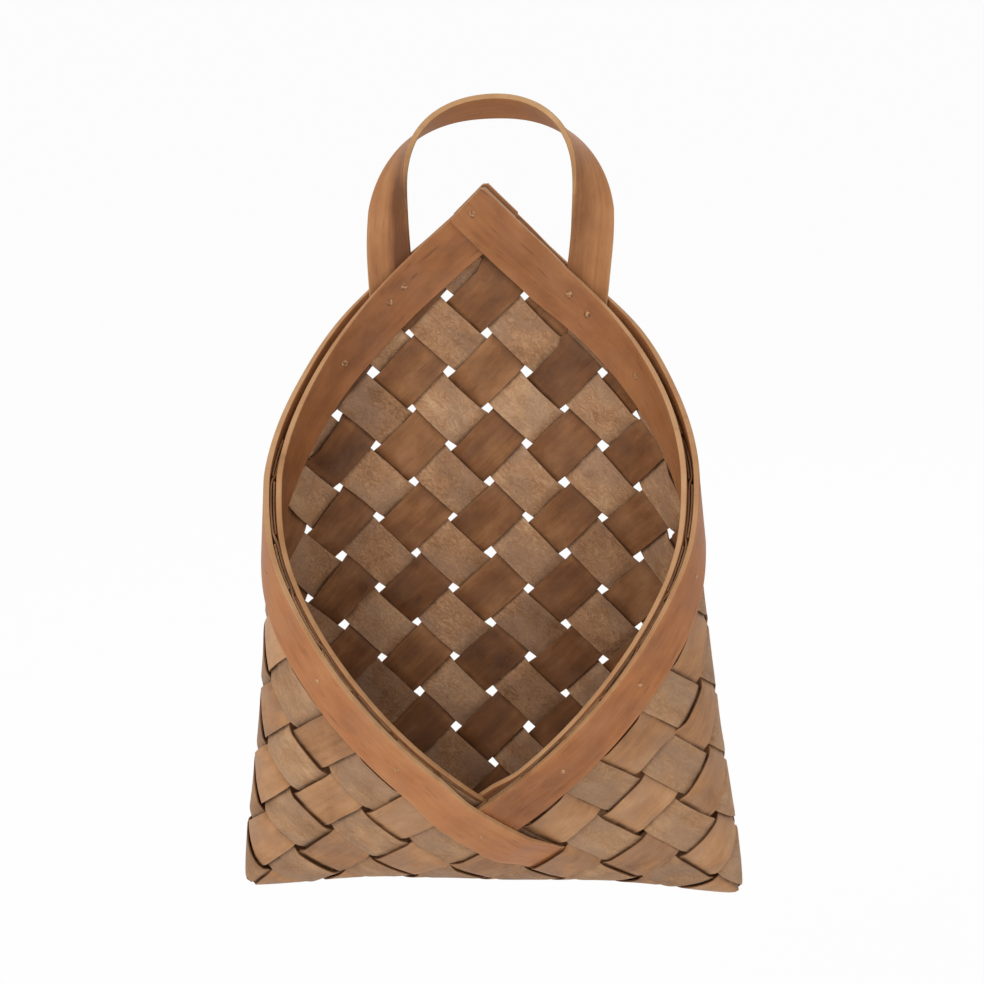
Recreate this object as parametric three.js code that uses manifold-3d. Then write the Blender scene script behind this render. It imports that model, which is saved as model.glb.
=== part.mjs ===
// Hanging wall basket: a bag plaited on the bias from wooden splints, with a pointed mouth that is
// bound by two pairs of bent bands, a bent ribbon handle and small nails.
// Millimetres. X to the right, Y back to the wall, Z up. The origin is where the handle hangs.

import * as THREE from 'three';
import { mergeVertices } from 'three/addons/utils/BufferGeometryUtils.js';
import Module from 'manifold-3d';

// Plaited splints
const SPLINT_WIDTH = 22;
const SPLINT_GAP = 3.5;
const SPLINT_THICKNESS = 0.9;
const LAYER_GAP = 0.5;
const DIAMONDS_ACROSS = 7;
const DIAMONDS_UP = 9.5;

// Form of the bag: where the fold stands, how far its corners hang and draw in, and how the sides and
// the front swell above it
const FOLD_STANDOFF = 29.3;
const FOLD_RISE = 205;
const FOLD_EASE = 4.6;
const CORNER_SAG = 6.1;
const SAG_RISE = 172;
const FOLD_DRAW = 3;
const DRAW_DROP = 1.6;
const DRAW_RISE = 18;
const FOLD_PINCH = 0.04;
const SIDE_STRETCH = 0.047;
const PINCH_RISE = 25;
const STRETCH_RISE = 215;
const SIDE_SWELL_LOW = 21.4;
const SIDE_RISE_LOW = 37.8;
const SIDE_SWELL_HIGH = 78.5;
const SIDE_RISE_HIGH = 485;
const FRONT_BOW = 3.87;
const FRONT_RISE = 756;

// Bands round the mouth
const BAND_WIDTH = 22;
const BAND_THICKNESS = 2.8;
const SEAT_GAP = 0.3;
const TIP_OVERHANG = 1.3;
const TAIL_TUCK = 5;
const TAIL_TIP = 0.9;
const BAND_LIFT_LEFT = 3.7;
const BAND_LIFT_RIGHT = 4.8;
const LIFT_START_LEFT = 0.9;
const LIFT_START_RIGHT = 2.2;
const LIFT_END = 8;

// Handle
const HANDLE_WIDTH = 20;
const HANDLE_THICKNESS = 2.8;
const LEG_SPACING = 92.9;
const LEG_SHIFT = 2.2;
const LEG_SLANT_LEFT = 0.03;
const LEG_SLANT_RIGHT = 0.11;
const LEG_RISE = 4;
const LEG_TOE_LEFT = 23;
const LEG_TOE_RIGHT = 34;
const ARCH_RISE = 31.8;
const ARCH_SETBACK = 6.6;
const ARCH_SHIFT = 6.6;
const ARCH_TILT = 0.6;
const ARCH_FULLNESS = 0.69;
const TWIST_EASE = 1.88;
const BULGE_SLACK = 0.5;
const BULGE_MARGIN = 9;
const BULGE_RAMP = 16;

// Nails, and their places across a band and along it, counted in splint pitches from the tip
const NAIL_RADIUS = 0.8;
const NAIL_HEAD_RADIUS = 1.7;
const NAIL_HEAD_HEIGHT = 0.7;
const NAIL_CLEARANCE = 0.3;
const NAIL_TIP_COVER = 0.4;
const TIP_NAIL = [0.28, 0.55];
const FRONT_NAIL = [0.5, 14.5];
const INSIDE_NAILS_LEFT = [[0.4, 2.4], [0.4, 2.8], [0.5, 4.2]];
const INSIDE_NAILS_RIGHT = [[0.4, 2.55], [0.45, 3.05], [0.5, 4.5]];
const OUTSIDE_NAILS = [[0.5, 8.5], [0.5, 10.5], [0.5, 12.5]];

// Fineness of the curved forms, and how near the bottom fold, in diamonds, cells and strips turn over it
const LEVEL_STEP = 2;
const NORMAL_STEP = 0.5;
const FOLD_CELL_REACH = 0.3;
const FOLD_STRIP_REACH = 0.5;
const LEG_ROWS = 4;
const ARCH_ROWS = 14;
const NAIL_SIDES = 6;

const SPLINT_WOOD = { color: 0x94714f, roughness: 0.75, metalness: 0 };
const BAND_WOOD = { color: 0xa7683f, roughness: 0.6, metalness: 0 };
const NAIL_METAL = { color: 0xb58a58, roughness: 0.45, metalness: 0.8 };

const pitch = SPLINT_WIDTH + SPLINT_GAP;
const diamond = pitch * Math.SQRT2;
const halfGirth = DIAMONDS_ACROSS * diamond;
const halfGap = SPLINT_GAP / pitch / 2;
const layerOffset = (SPLINT_THICKNESS + LAYER_GAP) / 2;
const weaveHalf = layerOffset + SPLINT_THICKNESS / 2;
const bandSeat = weaveHalf + SEAT_GAP;
const bandStep = BAND_THICKNESS + SEAT_GAP;
const frontCell = 2 * DIAMONDS_ACROSS;
const tailCell = frontCell + 1;
const legPlace = LEG_SPACING / 2 / diamond;
const legShift = LEG_SHIFT / diamond;
const ramp = THREE.MathUtils.smoothstep;
const cellsTo = (count) => Array.from({ length: count }, (_, cell) => cell);

// The bag's wall

function sideRadius(height) {
  const low = SIDE_SWELL_LOW * (1 - Math.exp(-height / SIDE_RISE_LOW));
  return low + SIDE_SWELL_HIGH * (1 - Math.exp(-height / SIDE_RISE_HIGH));
}

// Plan of the wall at one height: a flat back, a round side and a bowed front
function plan(around, height) {
  const distance = Math.abs(around);
  const radius = sideRadius(height);
  const bow = Math.max(FRONT_BOW * (1 - Math.exp(-height / FRONT_RISE)), 1e-6);
  const flat = (halfGirth - Math.PI * radius) / (1 + bow / Math.sin(bow));
  const standoff = FOLD_STANDOFF * Math.max(0, 1 - height / FOLD_RISE) ** FOLD_EASE;
  let x = distance;
  let forward = 0;
  if (distance >= flat + radius * (Math.PI - bow)) {
    const frontRadius = radius + flat / Math.sin(bow);
    const turn = (halfGirth - distance) / frontRadius;
    x = frontRadius * Math.sin(turn);
    forward = radius * (1 + Math.cos(bow)) + frontRadius * (Math.cos(turn) - Math.cos(bow));
  } else if (distance > flat) {
    const turn = (distance - flat) / radius;
    x = flat + radius * Math.sin(turn);
    forward = radius * (1 - Math.cos(turn));
  }
  const pinch = Math.exp(-height / PINCH_RISE);
  const sideShare = Math.min(distance / (halfGirth / 2), 1);
  const stretch = SIDE_STRETCH * sideShare ** 2 * Math.max(0, 1 - height / STRETCH_RISE);
  x *= 1 - FOLD_PINCH * pinch + stretch * (1 - pinch);
  return { x: around < 0 ? -x : x, y: -forward - standoff };
}

// How far the wall hangs down towards the corners of the fold, less what is drawn up between them
function sag(around, height) {
  const corner = Math.sin(Math.PI * around / halfGirth) ** 4;
  const drawn = FOLD_DRAW * (1 - DRAW_DROP * corner) * Math.exp(-height / DRAW_RISE);
  return CORNER_SAG * corner * Math.exp(-height / SAG_RISE) - drawn;
}

// Heights up one line of the wall, so that lengths along the wall stay true as it leans
const climbs = new Map();
function climb(around) {
  const key = Math.abs(around).toFixed(4);
  if (!climbs.has(key)) {
    const heights = [0];
    let last = plan(around, 0);
    for (let level = 1; level * LEVEL_STEP <= (DIAMONDS_UP + 1) * diamond; level += 1) {
      const here = plan(around, level * LEVEL_STEP);
      const run = Math.hypot(here.x - last.x, here.y - last.y);
      heights.push(heights[level - 1] + Math.sqrt(Math.max(LEVEL_STEP ** 2 - run ** 2, 0)));
      last = here;
    }
    climbs.set(key, heights);
  }
  return climbs.get(key);
}

function wallPoint(around, height) {
  const { x, y } = plan(around, height);
  const heights = climb(around);
  const level = Math.floor(height / LEVEL_STEP);
  const z = THREE.MathUtils.lerp(heights[level], heights[level + 1], height / LEVEL_STEP - level);
  return new THREE.Vector3(x, y, z - sag(around, height));
}

function wallNormal(around, height) {
  const low = Math.max(height - NORMAL_STEP, 0);
  const up = wallPoint(around, low + 2 * NORMAL_STEP).sub(wallPoint(around, low));
  const along = wallPoint(around + NORMAL_STEP, height).sub(wallPoint(around - NORMAL_STEP, height));
  return up.cross(along).normalize();
}

// A place of the flat pattern, s diamonds right of the back's middle and t below the tip of the mouth.
// Past the bottom fold the pattern runs up the other side.
function place(s, t) {
  const folded = t > DIAMONDS_UP;
  const side = folded ? DIAMONDS_ACROSS - s : s;
  const girth = 2 * DIAMONDS_ACROSS;
  const around = (side - girth * Math.round(side / girth)) * diamond;
  const height = Math.abs(DIAMONDS_UP - t) * diamond;
  const point = wallPoint(around, height);
  const normal = wallNormal(around, height);
  if (height < 1e-6) {
    const own = normal.clone();
    const opposite = (around < 0 ? -halfGirth : halfGirth) - around;
    normal.add(wallNormal(opposite, height)).normalize();
    normal.divideScalar(normal.dot(own));
  }
  return { point, normal, s: around / diamond };
}

// Rising strips run up to the right on the back, falling strips are their mirror image.
// across and along count splint pitches square to a strip and along it.
function stripPlace(rising, across, along) {
  const s = (across - along) / 2;
  return place(rising ? s : -s, (across + along) / 2);
}

// Solids

const wasm = await Module();
wasm.setup();

function solidFrom(positions, triangles) {
  const mesh = new wasm.Mesh({
    numProp: 3,
    vertProperties: new Float32Array(positions),
    triVerts: new Uint32Array(triangles),
  });
  return new wasm.Manifold(mesh);
}

function solidFromGeometry(source) {
  const bare = source.clone();
  bare.deleteAttribute('normal');
  bare.deleteAttribute('uv');
  const merged = mergeVertices(bare);
  return solidFrom(merged.attributes.position.array, merged.index.array);
}

function geometryFrom(solid) {
  const { vertProperties, triVerts } = solid.getMesh();
  const geometry = new THREE.BufferGeometry();
  geometry.setAttribute('position', new THREE.BufferAttribute(vertProperties, 3));
  geometry.setIndex(new THREE.BufferAttribute(triVerts, 1));
  geometry.computeVertexNormals();
  return geometry;
}

// Closed plate on a grid of rows: each entry holds a point of the near face and one of the far face.
// levelSplit says where a cell is split along its level diagonal.
function plate(rows, levelSplit) {
  const columns = rows[0].length;
  const positions = rows.flat().flatMap(({ near, far }) => [...near.toArray(), ...far.toArray()]);
  const near = (i, j) => 2 * (i * columns + j);
  const far = (i, j) => near(i, j) + 1;
  const triangles = [];
  const quad = (a, b, c, d) => triangles.push(a, b, c, a, c, d);
  for (let i = 0; i + 1 < rows.length; i += 1) {
    for (let j = 0; j + 1 < columns; j += 1) {
      const corners = [[i, j], [i, j + 1], [i + 1, j + 1], [i + 1, j]];
      const turned = levelSplit(i, j) ? [...corners.slice(1), corners[0]] : corners;
      quad(...turned.map(([a, b]) => far(a, b)));
      quad(...[0, 3, 2, 1].map((n) => near(...turned[n])));
    }
    quad(near(i, 0), far(i, 0), far(i + 1, 0), near(i + 1, 0));
    quad(far(i, columns - 1), near(i, columns - 1), near(i + 1, columns - 1), far(i + 1, columns - 1));
  }
  const last = rows.length - 1;
  for (let j = 0; j + 1 < columns; j += 1) {
    quad(near(0, j), near(0, j + 1), far(0, j + 1), far(0, j));
    quad(near(last, j + 1), near(last, j), far(last, j), far(last, j + 1));
  }
  const [a, b, c] = [rows[0][0], rows[0][1], rows[1][0]].map((entry) => entry.near);
  const facing = b.clone().sub(a).cross(c.clone().sub(a)).dot(rows[0][0].far.clone().sub(a));
  if (facing < 0) triangles.reverse();
  return solidFrom(positions, triangles);
}

// Plate that follows the wall, between two offsets along the wall's normal
function wallPlate(rising, acrosses, alongs, offsets, lift = () => 0) {
  const rows = alongs.map((along) => acrosses.map((across) => {
    const spot = stripPlace(rising, across - lift(along), along);
    const [low, high] = offsets(across, along, spot.s);
    return {
      near: spot.point.clone().addScaledVector(spot.normal, low),
      far: spot.point.clone().addScaledVector(spot.normal, high),
    };
  }));
  const nearFold = (i, j) => {
    const middle = (acrosses[j] + acrosses[j + 1] + alongs[i] + alongs[i + 1]) / 4;
    return Math.abs(middle - DIAMONDS_UP) < FOLD_CELL_REACH;
  };
  return plate(rows, nearFold);
}

const acrossStops = (cell, width) => [-0.5, 0, 0.5].map((share) => cell + 0.5 + share * width / pitch);
const cellStops = (cell) => [cell + halfGap, cell + 0.5, cell + 1 - halfGap];
const alongStops = (count) => cellsTo(count).flatMap(cellStops);

// Tail of the left outer band: it lies on the splint under it and lifts the splint that covers it
const tailSeat = SPLINT_THICKNESS / 2 - layerOffset + SEAT_GAP;
const tuckLift = tailSeat + TAIL_TIP + SEAT_GAP - (layerOffset - SPLINT_THICKNESS / 2);

// Splints: over one and under one, each with one arm on either side of the bottom fold
const lastArm = DIAMONDS_ACROSS + 2 * DIAMONDS_UP - 1;
const otherArm = (arm) => THREE.MathUtils.euclideanModulo(lastArm - arm, frontCell);
const arms = cellsTo(frontCell).filter((arm) => arm < otherArm(arm));

// Rows of a splint: the ends and the middle of every crossing, and the middle of the gaps at the bottom fold,
// where the strip turns from the back to the front
function splintRows(arm) {
  const length = 4 * DIAMONDS_UP - (arm + otherArm(arm) + 1);
  const fromFold = (cell) => Math.abs((arm + 0.5 + cell) / 2 - DIAMONDS_UP);
  const turns = cellsTo(length).filter((cell) => fromFold(cell) < FOLD_STRIP_REACH);
  return [...alongStops(length), ...turns].sort((a, b) => a - b);
}

function splint(rising, arm) {
  const coversTail = !rising && arm === tailCell + 1 - frontCell;
  const sideAt = (along) => ((arm + Math.floor(along)) % 2 === (rising ? 1 : 0) ? 1 : -1);
  const offsets = (across, along) => {
    let middle = layerOffset * (sideAt(along - halfGap / 2) + sideAt(along + halfGap / 2)) / 2;
    if (coversTail && Math.floor(along) === frontCell) {
      middle += tuckLift * Math.min(1, 2 * (arm + 1 - across));
    }
    return [middle - SPLINT_THICKNESS / 2, middle + SPLINT_THICKNESS / 2];
  };
  return wallPlate(rising, acrossStops(arm, SPLINT_WIDTH), splintRows(arm), offsets);
}

// Bands: the step over another band where two cross, and the bulge over a leg of the handle
const overTip = (along) => 1 - ramp(along, 1 + halfGap, 2 - halfGap);
const overFront = (along) => ramp(along, frontCell - 1 + halfGap, frontCell - halfGap);
const pastFront = (along) => ramp(along, tailCell + halfGap, tailCell + 1 - halfGap);
const tucked = (along) => ramp(along, tailCell + 1 - halfGap, tailCell + 1 + halfGap);
const crossingStep = (along) => bandStep * Math.max(overTip(along), overFront(along));

// Rise of the bands above the rim splints at the sides of the mouth
function bandLift(along, lift, start) {
  const share = THREE.MathUtils.clamp((along - start) / (LIFT_END - start), 0, 1);
  return lift / pitch * Math.sin(Math.PI * share);
}
const leftLift = (along) => bandLift(along, BAND_LIFT_LEFT, LIFT_START_LEFT);
const rightLift = (along) => bandLift(along, BAND_LIFT_RIGHT, LIFT_START_RIGHT);

function legBulge(s) {
  const clear = HANDLE_WIDTH / 2 + BULGE_MARGIN;
  const away = Math.abs(Math.abs(s - legShift) - legPlace) * diamond;
  return (HANDLE_THICKNESS + SEAT_GAP + BULGE_SLACK) * (1 - ramp(away, clear, clear + BULGE_RAMP));
}

const layer = (seat, thickness) => [seat, seat + thickness];
const innerLeft = () => layer(-bandSeat, -BAND_THICKNESS);
const innerRight = (across, along) => layer(-bandSeat - crossingStep(along), -BAND_THICKNESS);
const outerRight = (across, along, s) => {
  return layer(bandSeat + legBulge(s) + bandStep * overTip(along), BAND_THICKNESS);
};
const outerLeft = (across, along, s) => {
  const step = bandStep * overFront(along) * (1 - pastFront(along));
  const seat = THREE.MathUtils.lerp(bandSeat + legBulge(s) + step, tailSeat, tucked(along));
  return layer(seat, THREE.MathUtils.lerp(BAND_THICKNESS, TAIL_TIP, pastFront(along)));
};

const rimAcross = acrossStops(0, BAND_WIDTH);
const rimAlong = alongStops(frontCell + 1);
const tailEnd = [tailCell + 1 + halfGap, tailCell + 1 + TAIL_TUCK / pitch];
const longAlong = [halfGap - TIP_OVERHANG / pitch, ...alongStops(tailCell + 1), ...tailEnd];
const wood = {
  inner_band_left: wallPlate(true, rimAcross, rimAlong, innerLeft, leftLift),
  inner_band_right: wallPlate(false, rimAcross, rimAlong, innerRight, rightLift),
  outer_band_left: wallPlate(true, rimAcross, longAlong, outerLeft, leftLift),
  outer_band_right: wallPlate(false, rimAcross, rimAlong, outerRight, rightLift),
};
arms.forEach((arm, index) => {
  wood[`splint_rising_${index + 1}`] = splint(true, arm);
  wood[`splint_falling_${index + 1}`] = splint(false, arm);
});

// Handle: a flat leg behind the plaiting on each side, and a ribbon that twists into an arch
const legOffset = bandSeat + HANDLE_THICKNESS / 2;
const legTop = legPlace - (HANDLE_WIDTH / 2 + LEG_RISE) / diamond;
const handleShares = [-0.5, -0.25, 0, 0.25, 0.5];

function ribbonEntry(middle, face) {
  return {
    near: middle.clone().addScaledVector(face, -HANDLE_THICKNESS / 2),
    far: middle.clone().addScaledVector(face, HANDLE_THICKNESS / 2),
  };
}

// The legs lean in towards their toes
const slantOf = (side) => (side < 0 ? LEG_SLANT_LEFT : LEG_SLANT_RIGHT);

function legRow(side, t) {
  const middle = legPlace - slantOf(side) * (t - legTop);
  return handleShares.map((share) => {
    const { point, normal } = place(legShift + side * (middle - share * HANDLE_WIDTH / diamond), t);
    return ribbonEntry(point.addScaledVector(normal, legOffset), normal.negate());
  });
}

const archTop = place(0, 0).point.add(new THREE.Vector3(ARCH_SHIFT, ARCH_SETBACK, ARCH_RISE));

// Directions of the ribbon at one share of the arch: its run, its front edge and its outer face
function archFrame(curve, side, share) {
  const run = curve.getTangentAt(share).multiplyScalar(-side);
  const front = new THREE.Vector3(0, -1, 0);
  front.addScaledVector(run, -front.dot(run)).normalize();
  return { run, front, outward: front.clone().cross(run) };
}

function archRow(side, share) {
  const foot = place(legShift + side * legPlace, legTop);
  const start = foot.point.clone().addScaledVector(foot.normal, legOffset);
  const lean = new THREE.Vector3(side * slantOf(side), 0, 1);
  const rise = lean.multiplyScalar(ARCH_FULLNESS * (archTop.z - start.z));
  const reach = new THREE.Vector3(ARCH_FULLNESS * (start.x - archTop.x), 0, 0);
  const bends = [start.clone().add(rise), archTop.clone().add(reach)];
  const curve = new THREE.CubicBezierCurve3(start, ...bends, archTop);
  const atFoot = archFrame(curve, side, 0);
  const footTurn = Math.atan2(-foot.normal.dot(atFoot.front), -foot.normal.dot(atFoot.outward));
  const turn = THREE.MathUtils.lerp(footTurn, -ARCH_TILT, 1 - (1 - share) ** TWIST_EASE);
  const { run, front, outward } = archFrame(curve, side, share);
  const face = outward.multiplyScalar(Math.cos(turn)).addScaledVector(front, Math.sin(turn));
  const wide = run.clone().cross(face);
  return handleShares.map((column) => {
    const middle = curve.getPointAt(share).addScaledVector(wide, column * HANDLE_WIDTH);
    return ribbonEntry(middle, face);
  });
}

function handleSide(side, toe) {
  const toePlace = legPlace + toe / diamond;
  const leg = cellsTo(LEG_ROWS + 1).map((row) => THREE.MathUtils.lerp(toePlace, legTop, row / LEG_ROWS));
  const arch = cellsTo(ARCH_ROWS - 1).map((row) => (row + 1) / ARCH_ROWS);
  return [...leg.map((t) => legRow(side, t)), ...arch.map((share) => archRow(side, share))];
}

const crown = archRow(-1, 1);
const leftSide = handleSide(-1, LEG_TOE_LEFT);
const rightSide = handleSide(1, LEG_TOE_RIGHT).reverse();
wood.handle = plate([...leftSide, crown, ...rightSide], () => false);
const hangingPoint = crown[handleShares.indexOf(0)].near;

// Nails: each is driven square to the wall through everything between the bands' faces
function nailAt(rising, [across, along], headInside) {
  const lift = rising ? leftLift(along) : rightLift(along);
  const { point, normal, s } = stripPlace(rising, across - lift, along);
  const face = bandSeat + BAND_THICKNESS + crossingStep(along);
  const outerFace = face + legBulge(s);
  const headward = headInside ? normal.clone().negate() : normal.clone();
  const depth = face + outerFace + SEAT_GAP - NAIL_TIP_COVER;
  const headSeat = (headInside ? face : outerFace) + SEAT_GAP;
  const tip = point.clone().addScaledVector(headward, headSeat - depth);
  const turn = new THREE.Quaternion().setFromUnitVectors(new THREE.Vector3(0, 1, 0), headward);
  const pose = new THREE.Matrix4().compose(tip, turn, new THREE.Vector3(1, 1, 1));
  return { depth, pose };
}

function nailGeometry({ depth, pose }) {
  const profile = [
    new THREE.Vector2(0, 0),
    new THREE.Vector2(NAIL_RADIUS, 0),
    new THREE.Vector2(NAIL_RADIUS, depth),
    new THREE.Vector2(NAIL_HEAD_RADIUS, depth),
    new THREE.Vector2(NAIL_HEAD_RADIUS, depth + NAIL_HEAD_HEIGHT),
    new THREE.Vector2(0, depth + NAIL_HEAD_HEIGHT),
  ];
  return new THREE.LatheGeometry(profile, NAIL_SIDES).applyMatrix4(pose);
}

function drillSolid({ depth, pose }) {
  const radius = NAIL_RADIUS + NAIL_CLEARANCE;
  const drill = new THREE.CylinderGeometry(radius, radius, 2 * depth, NAIL_SIDES);
  drill.translate(0, depth / 2, 0).applyMatrix4(pose);
  return solidFromGeometry(drill);
}

const nails = { nail_tip: nailAt(true, TIP_NAIL, true), nail_front: nailAt(true, FRONT_NAIL, false) };
function addNails(side, rising, insideSpots) {
  insideSpots.forEach((spot, index) => {
    nails[`nail_${side}_${index + 1}`] = nailAt(rising, spot, true);
  });
  OUTSIDE_NAILS.forEach((spot, index) => {
    nails[`nail_${side}_${index + 1 + insideSpots.length}`] = nailAt(rising, spot, false);
  });
}
addNails('left', true, INSIDE_NAILS_LEFT);
addNails('right', false, INSIDE_NAILS_RIGHT);
const drills = Object.values(nails).map(drillSolid);

// Assembly, moved so that the hanging point is the origin
const basket = new THREE.Group();
basket.name = 'wall_basket';

function add(name, geometry, finish) {
  geometry.translate(-hangingPoint.x, -hangingPoint.y, -hangingPoint.z);
  const mesh = new THREE.Mesh(geometry, new THREE.MeshStandardMaterial(finish));
  mesh.name = name;
  basket.add(mesh);
}

for (const [name, solid] of Object.entries(wood)) {
  const drilled = drills.reduce((rest, drill) => rest.subtract(drill), solid);
  add(name, geometryFrom(drilled), name.startsWith('splint') ? SPLINT_WOOD : BAND_WOOD);
}
for (const [name, nail] of Object.entries(nails)) {
  add(name, geometryFrom(solidFromGeometry(nailGeometry(nail))), NAIL_METAL);
}

export default basket;
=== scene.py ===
"""Looks of a hanging wall basket: splints plaited on the bias, nailed rim bands and a bent handle.

Everything is in metres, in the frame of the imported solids: X to the right, Y back to the wall, Z
up, and the origin where the handle hangs. The plaiting is worked out on a flat pattern of diamonds.
Places on a strip are counted in pitches from the tip of the mouth, along it and across it.
"""

import logging
import math
from dataclasses import dataclass, field
from enum import Enum
from typing import Any, Callable, Optional, Sequence, Union

import bmesh
import bpy
import numpy as np
from mathutils import Matrix, Vector, noise


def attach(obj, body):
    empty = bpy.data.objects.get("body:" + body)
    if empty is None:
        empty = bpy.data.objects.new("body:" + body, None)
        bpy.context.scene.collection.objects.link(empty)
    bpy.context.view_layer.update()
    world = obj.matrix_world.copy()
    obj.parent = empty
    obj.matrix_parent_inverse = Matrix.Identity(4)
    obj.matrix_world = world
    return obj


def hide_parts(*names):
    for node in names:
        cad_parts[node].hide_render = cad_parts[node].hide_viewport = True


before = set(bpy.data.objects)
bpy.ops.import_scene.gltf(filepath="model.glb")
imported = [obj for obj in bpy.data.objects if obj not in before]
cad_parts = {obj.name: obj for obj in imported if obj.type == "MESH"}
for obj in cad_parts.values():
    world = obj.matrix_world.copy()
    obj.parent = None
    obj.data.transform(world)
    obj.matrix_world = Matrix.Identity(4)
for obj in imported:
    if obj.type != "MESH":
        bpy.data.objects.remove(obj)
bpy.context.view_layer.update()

LOG = logging.getLogger("wall_basket")
BODY = "root"
GRAIN_MAP = "grain"
TONE = "tone"
DEPTH = "depth"
MIDDLE = 0.5
TINY = 1e-14
WHITE = (1.0, 1.0, 1.0)
Array = np.ndarray
Arrays = tuple[Array, Array]
Pair = tuple[float, float]
Triple = tuple[float, float, float]
Shown = tuple[int, int, int]
Finish = bpy.types.Material
Piece = bpy.types.Object


def smooth(values: Any, start: float, end: float) -> Any:
    """Eases from 0 at start to 1 at end."""
    share = np.clip((np.asarray(values, float) - start) / (end - start), 0.0, 1.0)
    return share * share * (3.0 - 2.0 * share)


def hump(distance: Array, reach: float) -> Array:
    """Eases from 1 at no distance to 0 at the reach."""
    near = np.clip(np.abs(distance) / reach, 0.0, 1.0)
    return 0.5 + 0.5 * np.cos(np.pi * near)


def drift(*place: Any) -> Array:
    """Reads smooth noise at x, y and z, each a number or an array."""
    return np.array([noise.noise(Vector(spot)) for spot in np.broadcast(*place)])


def unit(vectors: Array) -> Array:
    """Brings each vector to a length of 1."""
    return vectors / np.linalg.norm(vectors, axis=-1, keepdims=True)


def tint(red: int, green: int, blue: int) -> Triple:
    """Turns a display colour of 0 to 255 into the linear colour that a shader takes."""
    shares = [channel / 255.0 for channel in (red, green, blue)]
    return tuple(s / 12.92 if s <= 0.04045 else ((s + 0.055) / 1.055) ** 2.4 for s in shares)


def add_object(name: str, data: bpy.types.ID) -> Piece:
    """Adds an object to the scene.

    Args:
        name: Name of the object.
        data: Its mesh, lamp or camera.

    Returns:
        The new object.
    """
    made = bpy.data.objects.new(name, data)
    bpy.context.scene.collection.objects.link(made)
    return made


def add_mesh(name: str, form: bmesh.types.BMesh, *finishes: Finish) -> Piece:
    """Turns a finished bmesh into an object and frees it.

    Args:
        name: Name of the object and of its mesh.
        form: The bmesh.
        *finishes: Materials in the order of their slots.

    Returns:
        The new object.
    """
    mesh = bpy.data.meshes.new(name)
    form.to_mesh(mesh)
    form.free()
    for finish in finishes:
        mesh.materials.append(finish)
    return add_object(name, mesh)


def settle(piece: Piece, node: str) -> None:
    """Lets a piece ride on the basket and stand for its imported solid.

    Args:
        piece: The finished piece.
        node: Name of the solid that it replaces.
    """
    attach(piece, BODY)
    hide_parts(node)
    LOG.info("%s stands for %s", piece.name, node)


class Family(Enum):
    """The two directions of the plaiting, seen on the back from the front."""

    RISING = 1
    FALLING = -1

    @property
    def left(self) -> bool:
        """Whether the rim bands of this direction are on the left of the mouth."""
        return self is Family.RISING

    @property
    def side(self) -> str:
        """Name of the side of the mouth that those bands are on."""
        return "left" if self.left else "right"


class Layer(Enum):
    """Side of the plaiting that a band lies on, by the sign of the wall's normal."""

    INNER = -1
    OUTER = 1


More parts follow.
